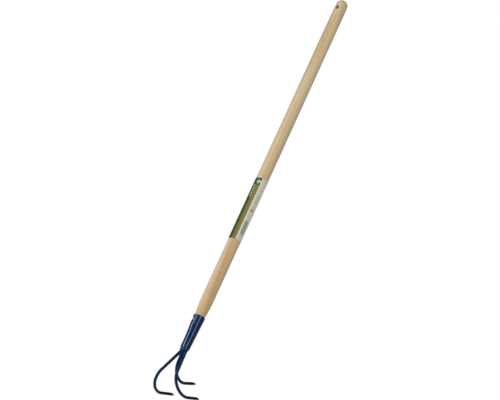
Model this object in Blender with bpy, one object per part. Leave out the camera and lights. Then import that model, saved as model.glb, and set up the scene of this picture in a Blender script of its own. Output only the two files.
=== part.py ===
"""Garden cultivator: a turned wooden handle in a rolled steel socket that holds three hooked tines.

Metres, +Z up along the handle. The origin is the middle of the hanging hole. The tines spread
along X, and their tips point along -Y.
"""

import math

import bmesh
import bpy
from mathutils import Matrix, Vector

# Fits
CLEARANCE = 0.0003  # between any two pieces that touch

# Handle
HANDLE_DIAMETER = 0.028
HANDLE_TOP_DIAMETER = 0.0268  # where the domed end begins
HANDLE_ABOVE_HOLE = 0.0252  # from the hanging hole's axis to the top of the dome
HANDLE_BELOW_HOLE = 0.8050  # from the hanging hole's axis to the socket's mouth
DOME_HEIGHT = 0.0125
TOP_TAPER_LENGTH = 0.040
SHOULDER_LENGTH = 0.046  # the rounded stretch above the socket's mouth
SHOULDER_POWER = 2.1  # how late the shoulder turns in: 1 is a straight cone
HANGING_HOLE_DIAMETER = 0.008
HANGING_HOLE_TURN = math.radians(5)  # from the Y axis towards -X

# Label wrapped round the handle
LABEL_BELOW_HOLE = 0.4610
LABEL_LENGTH = 0.1540
LABEL_THICKNESS = 0.0002
LABEL_JOIN_WIDTH = 0.003
LABEL_JOIN_ANGLE = math.radians(-45)  # from +X, seen from above

# Socket, rolled from sheet with an open seam
SOCKET_LENGTH = 0.0772
SOCKET_MOUTH_DIAMETER = 0.0248
SOCKET_WALL = 0.0012
SEAM_WIDTH = 0.0008
SEAM_ANGLE = math.radians(78)  # from +X, seen from above: the screw is on the same line
ROD_ROOM = 0.0005  # between the socket's wall and the rods where they leave it
RODS_TO_TENON = 0.008  # free space inside, between the tines' upper ends and the handle

# Tines
TINE_DIAMETER = 0.0062
TINE_GAP = 0.0005  # between the rods in the bundle
TINE_HELD_LENGTH = 0.0187  # inside the socket
POINT_LENGTH = 0.008
POINT_THICKNESS = 0.0024
POINT_WIDTH = 0.0044
POINT_OFFSET = 0.5  # how far the point lies towards the hook's outer side: 1 keeps that side straight
POINT_EASING = 0.55  # how full the point still is a third of its length from the end
EXIT_RADIUS = 0.012  # of the bend where a rod turns out of the bundle

OUTER_TOP_LENGTH = 0.0120  # from an outer rod's upper end to its first bend
OUTER_SPLAY = math.radians(16.5)  # outwards along X
OUTER_LEAN = math.radians(14.9)  # backwards along +Y
OUTER_SHANK_LENGTH = 0.0684
OUTER_HOOK_RADIUS = 0.0331
OUTER_HOOK_ANGLE = math.radians(126.5)
OUTER_HOOK_SPREAD = 0.093  # outward share of the direction that the hook turns to
OUTER_TIP_LENGTH = 0.0362

MIDDLE_TOP_LENGTH = 0.0200  # from the middle rod's upper end to its first bend
MIDDLE_LEAN = math.radians(3.1)  # forwards along -Y
MIDDLE_SHANK_LENGTH = 0.0321
MIDDLE_HOOK_RADIUS = 0.0316
MIDDLE_HOOK_ANGLE = math.radians(113.0)
MIDDLE_TIP_LENGTH = 0.0316

# Weld that closes the socket's end round the tines
WELD_LENGTH = 0.0040
WELD_RISE = 0.35  # angle at which the bead's rounded side meets the socket's end
WELD_BULGE = 0.0002
WELD_RIPPLES = 11

# Screw through the socket into the handle
SCREW_BELOW_MOUTH = 0.0110
SCREW_HEAD_DIAMETER = 0.0062
SCREW_HEAD_HEIGHT = 0.0020
SCREW_SHANK_DIAMETER = 0.0032
SCREW_LENGTH = 0.016
SCREW_SLOT_WIDTH = 0.0009
SCREW_SLOT_DEPTH = 0.0011

# How finely round shapes are divided
HANDLE_SIDES = 48
SOCKET_SIDES = 48
TINE_SIDES = 16
SCREW_SIDES = 24
BEND_STEP = math.radians(7)
SHARP_ANGLE = math.radians(35)

# Heights and radii that follow from the sizes above
MOUTH_Z = -HANDLE_BELOW_HOLE
SOCKET_END_Z = MOUTH_Z - SOCKET_LENGTH
BUNDLE_OFFSET = (TINE_DIAMETER + TINE_GAP) / math.sqrt(3)  # from the axis to each rod
SOCKET_MOUTH_RADIUS = SOCKET_MOUTH_DIAMETER / 2
ROD_TOP_Z = SOCKET_END_Z + TINE_HELD_LENGTH
TENON_END_Z = ROD_TOP_Z + RODS_TO_TENON
SCREW_Z = MOUTH_Z - SCREW_BELOW_MOUTH
DOWN = Vector((0, 0, -1))
FORWARD = Vector((0, -1, 0))


def clear_scene():
    for obj in list(bpy.data.objects):
        bpy.data.objects.remove(obj, do_unlink=True)


def make_material(name, colour, roughness, metallic=0.0):
    material = bpy.data.materials.new(name)
    material.use_nodes = True
    shader = material.node_tree.nodes["Principled BSDF"]
    shader.inputs["Base Color"].default_value = (*colour, 1)
    shader.inputs["Roughness"].default_value = roughness
    shader.inputs["Metallic"].default_value = metallic
    return material


def add_object(name, bm, material=None):
    """Turns the bmesh into an object with its faces pointing out and its round faces smooth."""
    bmesh.ops.recalc_face_normals(bm, faces=bm.faces)
    mesh = bpy.data.meshes.new(name)
    bm.to_mesh(mesh)
    bm.free()
    mesh.shade_smooth()
    mesh.set_sharp_from_angle(angle=SHARP_ANGLE)
    obj = bpy.data.objects.new(name, mesh)
    bpy.context.collection.objects.link(obj)
    if material:
        mesh.materials.append(material)
    return obj


def turn(outline, sides, closed=False):
    """A solid turned about Z from (radius, height) points. A closed outline makes a ring."""
    bm = bmesh.new()
    verts = [bm.verts.new((radius, 0, height)) for radius, height in outline]
    edges = [bm.edges.new(pair) for pair in zip(verts, verts[1:])]
    if closed:
        edges.append(bm.edges.new((verts[-1], verts[0])))
    bmesh.ops.spin(
        bm, geom=verts + edges, cent=(0, 0, 0), axis=(0, 0, 1), angle=math.tau, steps=sides, use_merge=True
    )
    bmesh.ops.remove_doubles(bm, verts=bm.verts, dist=1e-7)
    return bm


def make_cutter(name, bm):
    cutter = add_object(name, bm)
    cutter.hide_render = True
    cutter.display_type = "WIRE"
    return cutter


def cut(obj, cutter):
    boolean = obj.modifiers.new(cutter.name, "BOOLEAN")
    boolean.operation = "DIFFERENCE"
    boolean.object = cutter
    boolean.solver = "EXACT"


def box_cutter(name, size, centre, angle):
    """A box whose length lies along the direction at this angle about Z."""
    bm = bmesh.new()
    place = Matrix.Rotation(angle, 4, "Z") @ Matrix.Translation(centre) @ Matrix.Diagonal((*size, 1))
    bmesh.ops.create_cube(bm, size=1, matrix=place)
    return make_cutter(name, bm)


def cylinder_cutter(name, radius, length, place):
    bm = bmesh.new()
    bmesh.ops.create_cone(
        bm, cap_ends=True, segments=SCREW_SIDES, radius1=radius, radius2=radius, depth=length, matrix=place
    )
    return make_cutter(name, bm)


def arc_points(centre, radii, start, end, steps):
    """Points of an elliptical arc, ends included."""
    angles = [start + (end - start) * i / steps for i in range(steps + 1)]
    return [(centre[0] + radii[0] * math.cos(a), centre[1] + radii[1] * math.sin(a)) for a in angles]


def socket_end_radius():
    """Outside radius of the socket's end, which clears the rods that have begun to spread there."""
    path = outer_path()
    for above, below in zip(path, path[1:]):
        if above.z >= SOCKET_END_Z > below.z:
            point = above.lerp(below, (above.z - SOCKET_END_Z) / (above.z - below.z))
            break
    return math.hypot(point.x, point.y) + TINE_DIAMETER / 2 + ROD_ROOM + SOCKET_WALL


def socket_radius(height):
    """The socket's outer radius, a straight cone from mouth to end."""
    share = (MOUTH_Z - height) / SOCKET_LENGTH
    return SOCKET_MOUTH_RADIUS + (socket_end_radius() - SOCKET_MOUTH_RADIUS) * share


def tenon_radius(height):
    return socket_radius(height) - SOCKET_WALL - CLEARANCE


def screw_place():
    """Local +Z runs out of the socket's wall on the seam's side."""
    across = Matrix.Rotation(math.pi / 2, 4, "Y")
    return Matrix.Rotation(SEAM_ANGLE, 4, "Z") @ Matrix.Translation((0, 0, SCREW_Z)) @ across


def screw_hole(name):
    """A hole from outside the socket to just past the screw's point."""
    wall = socket_radius(SCREW_Z)
    length = SCREW_LENGTH + 2 * CLEARANCE + SOCKET_WALL
    centre = wall + SOCKET_WALL - length / 2
    place = screw_place() @ Matrix.Translation((0, 0, centre))
    return cylinder_cutter(name, SCREW_SHANK_DIAMETER / 2 + CLEARANCE, length, place)


def handle_outline():
    """(radius, height) points from the top of the dome down to the end of the tenon."""
    body = HANDLE_DIAMETER / 2
    top = HANDLE_TOP_DIAMETER / 2
    dome_z = HANDLE_ABOVE_HOLE - DOME_HEIGHT
    outline = arc_points((0, dome_z), (top, DOME_HEIGHT), math.pi / 2, 0, 8)
    outline[0] = (0, HANDLE_ABOVE_HOLE)
    for i in range(1, 5):
        share = i / 4
        eased = math.sin(share * math.pi / 2)
        outline.append((top + (body - top) * eased, dome_z - TOP_TAPER_LENGTH * share))
    mouth = tenon_radius(MOUTH_Z)
    steps = 8
    for i in range(steps + 1):
        share = i / steps
        radius = body + (mouth - body) * share**SHOULDER_POWER
        outline.append((radius, MOUTH_Z + SHOULDER_LENGTH * (1 - share)))
    outline.append((tenon_radius(TENON_END_Z), TENON_END_Z))
    outline.append((0, TENON_END_Z))
    return outline


def make_handle(wood):
    handle = add_object("handle", turn(handle_outline(), HANDLE_SIDES), wood)
    across = Matrix.Rotation(HANGING_HOLE_TURN, 4, "Z") @ Matrix.Rotation(math.pi / 2, 4, "X")
    hole = cylinder_cutter("hanging_hole_cutter", HANGING_HOLE_DIAMETER / 2, 2 * HANDLE_DIAMETER, across)
    cut(handle, hole)
    cut(handle, screw_hole("handle_screw_cutter"))
    return handle


def make_label(film):
    """A thin sleeve with a narrow open join."""
    inner = HANDLE_DIAMETER / 2 + CLEARANCE
    outer = inner + LABEL_THICKNESS
    top = -LABEL_BELOW_HOLE
    bottom = top - LABEL_LENGTH
    outline = [(outer, top), (outer, bottom), (inner, bottom), (inner, top)]
    label = add_object("label", turn(outline, HANDLE_SIDES, closed=True), film)
    middle = (outer, 0, (top + bottom) / 2)
    size = (outer, LABEL_JOIN_WIDTH, LABEL_LENGTH * 1.1)
    cut(label, box_cutter("label_join_cutter", size, middle, LABEL_JOIN_ANGLE))
    return label


def make_socket(paint):
    """A conical tube with a seam slot from end to end."""
    end = socket_end_radius()
    outer = [(SOCKET_MOUTH_RADIUS, MOUTH_Z), (end, SOCKET_END_Z)]
    inner = [(radius - SOCKET_WALL, height) for radius, height in reversed(outer)]
    socket = add_object("socket", turn(outer + inner, SOCKET_SIDES, closed=True), paint)
    middle = (SOCKET_MOUTH_RADIUS, 0, (MOUTH_Z + SOCKET_END_Z) / 2)
    size = (2 * (SOCKET_MOUTH_RADIUS - end / 2), SEAM_WIDTH, SOCKET_LENGTH * 1.1)
    cut(socket, box_cutter("seam_cutter", size, middle, SEAM_ANGLE))
    cut(socket, screw_hole("socket_screw_cutter"))
    return socket


def direction(splay, lean):
    """A downward direction that splays along X and leans along Y."""
    return Vector((math.tan(splay), math.tan(lean), -1)).normalized()


def run(path, heading, length):
    path.append(path[-1] + heading * length)


def bend(path, heading, towards, radius, angle=None):
    """Adds an arc that turns the heading towards another direction, and gives the new heading."""
    side = (towards - heading * heading.dot(towards)).normalized()
    if angle is None:
        angle = heading.angle(towards)
    start = path[-1]
    steps = max(2, math.ceil(angle / BEND_STEP))
    for i in range(1, steps + 1):
        a = angle * i / steps
        path.append(start + radius * (math.sin(a) * heading + (1 - math.cos(a)) * side))
    return (math.cos(angle) * heading + math.sin(angle) * side).normalized()


def tip(path, heading, length):
    """The straight end of a hook, divided where its point begins."""
    run(path, heading, length - POINT_LENGTH)
    run(path, heading, POINT_LENGTH * 2 / 3)
    run(path, heading, POINT_LENGTH / 3)


def outer_path():
    """Centreline of the outer tine on the +X side, from its upper end."""
    start = Vector((BUNDLE_OFFSET * math.cos(math.pi / 6), -BUNDLE_OFFSET * math.sin(math.pi / 6), ROD_TOP_Z))
    path = [start]
    run(path, DOWN, OUTER_TOP_LENGTH)
    heading = bend(path, DOWN, direction(OUTER_SPLAY, OUTER_LEAN), EXIT_RADIUS)
    run(path, heading, OUTER_SHANK_LENGTH)
    outwards = Vector((OUTER_HOOK_SPREAD, 0, 0))
    heading = bend(path, heading, FORWARD + outwards, OUTER_HOOK_RADIUS, OUTER_HOOK_ANGLE)
    tip(path, heading, OUTER_TIP_LENGTH)
    return path


def middle_path():
    """Centreline of the shorter middle tine, from its upper end."""
    path = [Vector((0, BUNDLE_OFFSET, ROD_TOP_Z))]
    run(path, DOWN, MIDDLE_TOP_LENGTH)
    heading = bend(path, DOWN, direction(0, -MIDDLE_LEAN), EXIT_RADIUS)
    run(path, heading, MIDDLE_SHANK_LENGTH)
    heading = bend(path, heading, FORWARD, MIDDLE_HOOK_RADIUS, MIDDLE_HOOK_ANGLE)
    tip(path, heading, MIDDLE_TIP_LENGTH)
    return path


def mirrored(path):
    return [Vector((-point.x, point.y, point.z)) for point in path]


def sweep(path, radius, fullness=()):
    """A round rod along the path. Fullness holds 1 for a round ring and 0 for a fully flattened one."""
    bm = bmesh.new()
    rings = []
    across = Vector((1, 0, 0))
    for i, centre in enumerate(path):
        tangent = (path[min(i + 1, len(path) - 1)] - path[max(i - 1, 0)]).normalized()
        side = (across - tangent * across.dot(tangent)).normalized()
        outer = side.cross(tangent)
        full = fullness[i] if fullness else 1
        thick = POINT_THICKNESS / 2 * (1 - full) + radius * full
        wide = POINT_WIDTH / 2 * (1 - full) + radius * full
        centre = centre + outer * (radius - thick) * POINT_OFFSET
        angles = [math.tau * k / TINE_SIDES for k in range(TINE_SIDES)]
        ring = [centre + side * wide * math.cos(a) + outer * thick * math.sin(a) for a in angles]
        rings.append([bm.verts.new(point) for point in ring])
    for above, below in zip(rings, rings[1:]):
        for k in range(TINE_SIDES):
            following = (k + 1) % TINE_SIDES
            bm.faces.new((above[k], above[following], below[following], below[k]))
    bm.faces.new(rings[0])
    bm.faces.new(rings[-1])
    return bm


def tine_paths():
    outer = outer_path()
    return {"tine_right": outer, "tine_middle": middle_path(), "tine_left": mirrored(outer)}


def make_tines(paint):
    for name, path in tine_paths().items():
        fullness = [1] * (len(path) - 2) + [POINT_EASING, 0]
        add_object(name, sweep(path, TINE_DIAMETER / 2, fullness), paint)


def make_weld(paint):
    """A rippled bead of weld under the socket's end, with a channel for each rod."""
    top = SOCKET_END_Z - CLEARANCE
    widest = socket_end_radius() + WELD_BULGE
    height = WELD_LENGTH / (1 + math.sin(WELD_RISE))
    middle = (widest * 0.55, top - height * math.sin(WELD_RISE))
    outline = [(0, top)]
    outline += arc_points(middle, (widest * 0.45, height), WELD_RISE, -math.pi / 2, 7)
    outline.append((0, top - WELD_LENGTH))
    bm = turn(outline, SOCKET_SIDES)
    for vert in bm.verts:
        angle = math.atan2(vert.co.y, vert.co.x)
        radius = math.hypot(vert.co.x, vert.co.y)
        if radius > widest * 0.8 and vert.co.z < top - CLEARANCE:
            grow = 1 + WELD_BULGE * math.sin(WELD_RIPPLES * angle) / radius
            vert.co.x *= grow
            vert.co.y *= grow
    weld = add_object("weld", bm, paint)
    for name, path in tine_paths().items():
        rod = sweep(path[:-3], TINE_DIAMETER / 2 + CLEARANCE)
        cut(weld, make_cutter(name + "_channel_cutter", rod))
    return weld


def make_screw(steel):
    """A round-headed wood screw with a crossed slot."""
    under = socket_radius(SCREW_Z) + CLEARANCE
    head = SCREW_HEAD_DIAMETER / 2
    shank = SCREW_SHANK_DIAMETER / 2
    outline = arc_points((0, under), (head, SCREW_HEAD_HEIGHT), math.pi / 2, 0, 6)
    outline[0] = (0, under + SCREW_HEAD_HEIGHT)
    outline += [(shank, under), (shank, under - SCREW_LENGTH * 0.75), (0, under - SCREW_LENGTH)]
    screw = add_object("screw", turn(outline, SCREW_SIDES), steel)
    screw.data.transform(screw_place())
    middle = (under + SCREW_HEAD_HEIGHT, 0, SCREW_Z)
    depth = 2 * SCREW_SLOT_DEPTH
    long_side = SCREW_HEAD_DIAMETER * 0.6
    upright = box_cutter("upright_slot_cutter", (depth, SCREW_SLOT_WIDTH, long_side), middle, SEAM_ANGLE)
    level = box_cutter("level_slot_cutter", (depth, long_side, SCREW_SLOT_WIDTH), middle, SEAM_ANGLE)
    cut(screw, upright)
    cut(screw, level)
    return screw


def main():
    clear_scene()
    wood = make_material("turned_wood", (0.60, 0.45, 0.29), 0.55)
    film = make_material("label_film", (0.72, 0.74, 0.70), 0.45)
    paint = make_material("blue_paint", (0.010, 0.027, 0.105), 0.30)
    steel = make_material("screw_steel", (0.45, 0.47, 0.45), 0.35, 1.0)
    make_handle(wood)
    make_label(film)
    make_socket(paint)
    make_tines(paint)
    make_weld(paint)
    make_screw(steel)


main()
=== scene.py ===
import random
from math import ceil, cos, exp, hypot, pi, radians, sin, sqrt, tan, tau

import bmesh
import bpy
from mathutils import Matrix, Vector, noise


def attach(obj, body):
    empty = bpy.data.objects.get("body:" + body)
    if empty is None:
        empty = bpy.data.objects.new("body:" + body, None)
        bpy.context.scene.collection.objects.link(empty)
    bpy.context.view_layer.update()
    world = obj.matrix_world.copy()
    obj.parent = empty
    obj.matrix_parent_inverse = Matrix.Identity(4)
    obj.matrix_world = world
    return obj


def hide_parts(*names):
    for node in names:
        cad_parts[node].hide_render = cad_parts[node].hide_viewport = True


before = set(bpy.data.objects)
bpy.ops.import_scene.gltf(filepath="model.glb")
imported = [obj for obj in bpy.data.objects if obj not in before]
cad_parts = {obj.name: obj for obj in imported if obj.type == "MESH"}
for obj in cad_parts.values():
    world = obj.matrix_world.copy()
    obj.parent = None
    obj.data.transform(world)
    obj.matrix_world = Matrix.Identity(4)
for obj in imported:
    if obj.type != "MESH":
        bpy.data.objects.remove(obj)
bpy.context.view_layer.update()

random.seed(11)


# Small helpers for numbers

def polar(radius, angle, z):
    return Vector((radius * cos(angle), radius * sin(angle), z))


def turnAbout(axis, degrees):
    return Matrix.Rotation(radians(degrees), 4, axis)


def uneven(x, y, z):
    # the same smooth noise on each run, from -1 to 1
    return noise.noise(Vector((x, y, z)))


def bell(distance, reach):
    # 1 at no distance, falling to nothing past the reach
    return exp(-((distance / reach) ** 2))


def held(value):
    return min(1, max(0, value))


def between(v, first, last, share):
    return v[first] + (v[last] - v[first]) * share


# Small helpers for meshes

def shadeSmooth(mesh, sharpAngle):
    mesh.shade_smooth()
    mesh.set_sharp_from_angle(angle=radians(sharpAngle))


def setAll(thing, **settings):
    for name, value in settings.items():
        setattr(thing, name, value)


def addObject(name, data):
    obj = bpy.data.objects.new(name, data)
    bpy.context.scene.collection.objects.link(obj)
    return obj


def addMesh(name, bm, sharpAngle=35):
    # the bmesh becomes an object with outward faces, smooth apart from its real edges
    bmesh.ops.remove_doubles(bm, verts=bm.verts, dist=1e-7)
    bmesh.ops.recalc_face_normals(bm, faces=bm.faces)
    mesh = bpy.data.meshes.new(name)
    bm.to_mesh(mesh)
    bm.free()
    shadeSmooth(mesh, sharpAngle)
    return addObject(name, mesh)


def modify(obj, kind, **settings):
    setAll(obj.modifiers.new(kind, kind), **settings)


def applyModifiers(obj, sharpAngle=35):
    bpy.context.view_layer.update()
    graph = bpy.context.evaluated_depsgraph_get()
    mesh = bpy.data.meshes.new_from_object(obj.evaluated_get(graph))
    obj.modifiers.clear()
    obj.data = mesh
    shadeSmooth(mesh, sharpAngle)


def cutAway(obj, *cutters):
    # each cutter is taken out of the piece and then thrown away
    for cutter in cutters:
        modify(obj, "BOOLEAN", operation="DIFFERENCE", solver="EXACT", object=cutter)
    applyModifiers(obj)
    for cutter in cutters:
        bpy.data.objects.remove(cutter)


def easeEdges(obj, width, segments, angle):
    limit = {"limit_method": "ANGLE", "angle_limit": radians(angle)}
    modify(obj, "BEVEL", width=width, segments=segments, **limit)
    applyModifiers(obj)


def addToTool(piece, material, slotName, *nodes):
    piece.data.materials.clear()
    piece.data.materials.append(material)
    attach(piece, "root")
    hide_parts(*nodes)


def joinRings(bm, first, second):
    # a band of faces between two rings; a ring of one point closes to a tip
    count = max(len(first), len(second))
    for k in range(count):
        n = (k + 1) % count
        corners = [first[k % len(first)], first[n % len(first)]]
        corners += [second[n % len(second)], second[k % len(second)]]
        bm.faces.new(dict.fromkeys(corners))


def shares(steps):
    return [i / steps for i in range(1, steps + 1)]


def lathe(outline, sides, shape=None):
    # (radius, height) points turned about Z; shape may move each point a little
    bm = bmesh.new()
    rings = []
    for radius, height in outline:
        if radius < 1e-6:
            rings.append([bm.verts.new((0, 0, height))])
            continue
        ring = []
        for k in range(sides):
            angle = tau * k / sides
            r = shape(radius, height, angle) if shape else radius
            ring.append(bm.verts.new(polar(r, angle, height)))
        rings.append(ring)
    for upper, lower in zip(rings, rings[1:]):
        joinRings(bm, upper, lower)
    for ring in (rings[0], rings[-1]):
        if len(ring) > 1:
            bm.faces.new(ring)
    return bm


# Small helpers for shader nodes

def tone(*channels):
    # a colour picked from a screen, as the shader wants it; one number gives a grey
    linear = []
    for value in channels * (3 if len(channels) == 1 else 1):
        share = value / 255
        linear.append(share / 12.92 if value < 11 else ((share + 0.055) / 1.055) ** 2.4)
    return [*linear, 1]


def feed(value, socket):
    # a socket takes either another node's output or a plain value
    if isinstance(value, bpy.types.NodeSocket):
        socket.id_data.links.new(value, socket)
    else:
        socket.default_value = value


def addNode(tree, kind, inputs=None, **settings):
    node = tree.nodes.new("ShaderNode" + kind)
    setAll(node, **settings)
    for name, value in (inputs or {}).items():
        feed(value, node.inputs[name])
    return node


def setShader(shader, values):
    for name, value in values.items():
        feed(value, shader.inputs[name])


# the rest work in the node tree of the sockets that they are given

def treeOf(*values):
    return next(value.id_data for value in values if isinstance(value, bpy.types.NodeSocket))


def calc(operation, *values, clamp=False):
    node = addNode(treeOf(*values), "Math", operation=operation, use_clamp=clamp)
    for value, socket in zip(values, node.inputs):
        feed(value, socket)
    return node.outputs[0]


def chain(operation, values, clamp):
    # the same operation over any number of values, from left to right
    result = values[0]
    for i, value in enumerate(values[1:], 2):
        result = calc(operation, result, value, clamp=clamp and i == len(values))
    return result


def plus(*values, clamp=False):
    return chain("ADD", values, clamp)


def times(*values, clamp=False):
    return chain("MULTIPLY", values, clamp)


def highest(*values, clamp=False):
    return chain("MAXIMUM", values, clamp)


def minus(first, second):
    return calc("SUBTRACT", first, second)


def repeat(value, spacing):
    # from 0 to 1 over each stretch
    return calc("FRACT", calc("DIVIDE", value, spacing))


def fade(value, low, high, fromValue=0, toValue=1):
    # a smooth step from one value to another
    node = addNode(treeOf(value), "MapRange", interpolation_type="SMOOTHSTEP")
    for socket, v in zip(node.inputs, (value, low, high, fromValue, toValue)):
        feed(v, socket)
    return node.outputs[0]


def band(value, low, high, soft):
    # 1 between two values
    return times(fade(value, low - soft, low + soft), fade(value, high + soft, high - soft))


def blendColour(factor, first, second, how="MIX"):
    node = addNode(treeOf(factor, first, second), "Mix", data_type="RGBA", blend_type=how)
    for socket, value in zip((node.inputs[0], *node.inputs[6:8]), (factor, first, second)):
        feed(value, socket)
    return node.outputs[2]


def layOn(colour, over, *masks):
    # another colour over this one, as far as all the masks say
    return blendColour(times(*masks), colour, over)


def ramp(factor, stops):
    node = addNode(treeOf(factor), "ValToRGB", {"Fac": factor})
    elements = node.color_ramp.elements
    for position, colour in stops[1:-1]:
        elements.new(position).color = colour
    elements[0].position, elements[0].color = stops[0]
    elements[-1].position, elements[-1].color = stops[-1]
    return node.outputs["Color"]


def stretch(vector, scale, turn=(0, 0, 0), move=(0, 0, 0)):
    values = {"Vector": vector, "Location": move, "Rotation": turn, "Scale": scale}
    return addNode(treeOf(vector), "Mapping", values).outputs[0]


def noiseOn(vector, scale, detail=2, roughness=0.5):
    values = {"Vector": vector, "Scale": scale, "Detail": detail, "Roughness": roughness}
    return addNode(treeOf(vector), "TexNoise", values).outputs[0]


def grainOn(vector, scales, detail, roughness=0.5, **placing):
    # noise with a scale of its own along each axis
    return noiseOn(stretch(vector, scales, **placing), 1, detail, roughness)


def axisOf(vector, axis):
    return addNode(treeOf(vector), "SeparateXYZ", {0: vector}).outputs[axis]


def vectorCalc(operation, *vectors):
    return addNode(treeOf(*vectors), "VectorMath", dict(enumerate(vectors)), operation=operation).outputs[1]


def towards(vector, direction):
    return vectorCalc("DOT_PRODUCT", vector, direction)


def lengthOf(vector):
    return vectorCalc("LENGTH", vector)


def bumpOf(strength, distance, height):
    values = {"Strength": strength, "Distance": distance, "Height": height}
    return addNode(treeOf(height), "Bump", values).outputs[0]


def objectPlace(tree):
    return addNode(tree, "TexCoord").outputs["Object"]


def facing(tree):
    return addNode(tree, "NewGeometry").outputs["Normal"]


def newGroup(name, inputs, outputs):
    group = bpy.data.node_groups.new(name, "ShaderNodeTree")
    for label, value in inputs.items():
        socket = group.interface.new_socket(name=label, in_out="INPUT", socket_type="NodeSocketFloat")
        socket.default_value = value
    for label in outputs:
        group.interface.new_socket(name=label, in_out="OUTPUT", socket_type="NodeSocketFloat")
    start = group.nodes.new("NodeGroupInput")
    end = group.nodes.new("NodeGroupOutput")
    return group, start.outputs, end.inputs


def useGroup(tree, group, **values):
    node = addNode(tree, "Group", node_tree=group)
    for name, value in values.items():
        feed(value, node.inputs[name])
    return node.outputs


def newMaterial(name):
    material = bpy.data.materials.new(name)
    material.use_nodes = True
    tree = material.node_tree
    return material, tree, tree.nodes["Principled BSDF"], objectPlace(tree)


# Effects that several finishes share

def edgeWearGroup():
    # 1 along real edges, broken up so that it looks rubbed
    group, given, out = newGroup("edgeWear", {"Radius": 0.0006, "Amount": 0.5, "Scale": 900}, ["Mask"])
    place = objectPlace(group)
    rounded = addNode(group, "Bevel", {"Radius": given["Radius"]}, samples=4).outputs[0]
    edge = fade(towards(rounded, facing(group)), 0.995, 0.90)
    fine = noiseOn(place, given["Scale"], 4, 0.6)
    coarse = noiseOn(place, times(given["Scale"], 0.17), 2)
    rubbed = times(plus(fine, coarse), edge)
    threshold = minus(1.15, given["Amount"])
    feed(fade(rubbed, threshold, plus(threshold, 0.18)), out["Mask"])
    return group


def fineScuffsGroup():
    # thin scratches in two crossing directions, each broken into patches
    group, given, out = newGroup("fineScuffs", {"Scale": 120, "Amount": 0.5}, ["Mask", "Height"])
    place = objectPlace(group)
    marks = []
    for turn, thin in (((0.3, 0.2, 0.5), 34), ((-0.5, 0.9, -0.4), 26)):
        streak = noiseOn(stretch(place, (thin, thin, 1.2), turn), given["Scale"], 1, 0.4)
        patch = noiseOn(stretch(place, (1, 1, 1), turn, (turn[0], 0, 0)), given["Scale"], 2)
        marks.append(times(fade(streak, 0.66, 0.72), fade(patch, 0.50, 0.62)))
    both = highest(*marks)
    feed(times(both, given["Amount"], clamp=True), out["Mask"])
    feed(minus(1, both), out["Height"])
    return group


def restingDustGroup():
    # fine dust that lies on what faces up and thins out on the sides
    group, given, out = newGroup("restingDust", {"Amount": 0.3, "Scale": 260}, ["Mask"])
    lying = fade(axisOf(facing(group), "Z"), -0.1, 1, 0.12, 1)
    specks = fade(noiseOn(objectPlace(group), given["Scale"], 5, 0.7), 0.42, 0.75)
    feed(times(lying, specks, given["Amount"], clamp=True), out["Mask"])
    return group


def paintFlowGroup():
    # the skin of sprayed paint: orange peel, slow waves and a few nibs
    group, given, out = newGroup("paintFlow", {"Peel": 620, "Waves": 90}, ["Height", "Gloss"])
    place = objectPlace(group)
    peel = noiseOn(place, given["Peel"], 2, 0.45)
    waves = noiseOn(place, given["Waves"], 2, 0.5)
    nibs = fade(noiseOn(place, times(given["Peel"], 0.8), 0), 0.74, 0.80)
    height = plus(times(peel, 0.35), times(waves, 0.9), times(nibs, 0.6))
    feed(height, out["Height"])
    feed(plus(times(waves, 0.5), times(peel, 0.5)), out["Gloss"])
    return group


def aged(colour, v, *names):
    # scuffs, worn edges and dust over a colour, in this order, and the groups' outputs
    marks = []
    for name in names:
        settings, over, strength = v[name]
        marks.append(useGroup(treeOf(colour), effects[name], **settings))
        colour = layOn(colour, over, marks[-1]["Mask"], strength)
    return colour, *marks


effects = {"scuff": fineScuffsGroup(), "wear": edgeWearGroup(), "dust": restingDustGroup()}
paintFlow = paintFlowGroup()
print("shared effects ready")


# Handle

handleValues = {
    "bodyRadius": 0.01395,
    "topRadius": 0.01335,
    "aboveHole": 0.02512,
    "domeHeight": 0.0125,
    "topTaper": 0.040,
    "mouthZ": -0.8050,
    "mouthRadius": 0.01088,
    "shoulderLength": 0.046,
    "shoulderPower": 2.1,
    "tenonZ": -0.8555,
    "tenonRadius": 0.0088,
    "holeRadius": 0.0040,
    "holeTurn": 5,  # degrees about the handle's axis
    "holeShape": (0.94, 0.94, 1.08, 1),  # a little taller than wide
    "holeEasing": 0.0007,
    "holeRims": 0.0142,  # from the axis to where the rims flare out
    "rimDepth": 0.0016,
    "drillReach": 0.02,
    "wander": 0.00006,  # how far the turned surface strays from true
    "sides": 96,
    "domeSteps": 18, "taperSteps": 10, "bodySteps": 110, "shoulderSteps": 20, "tenonSteps": 5,
}

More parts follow.
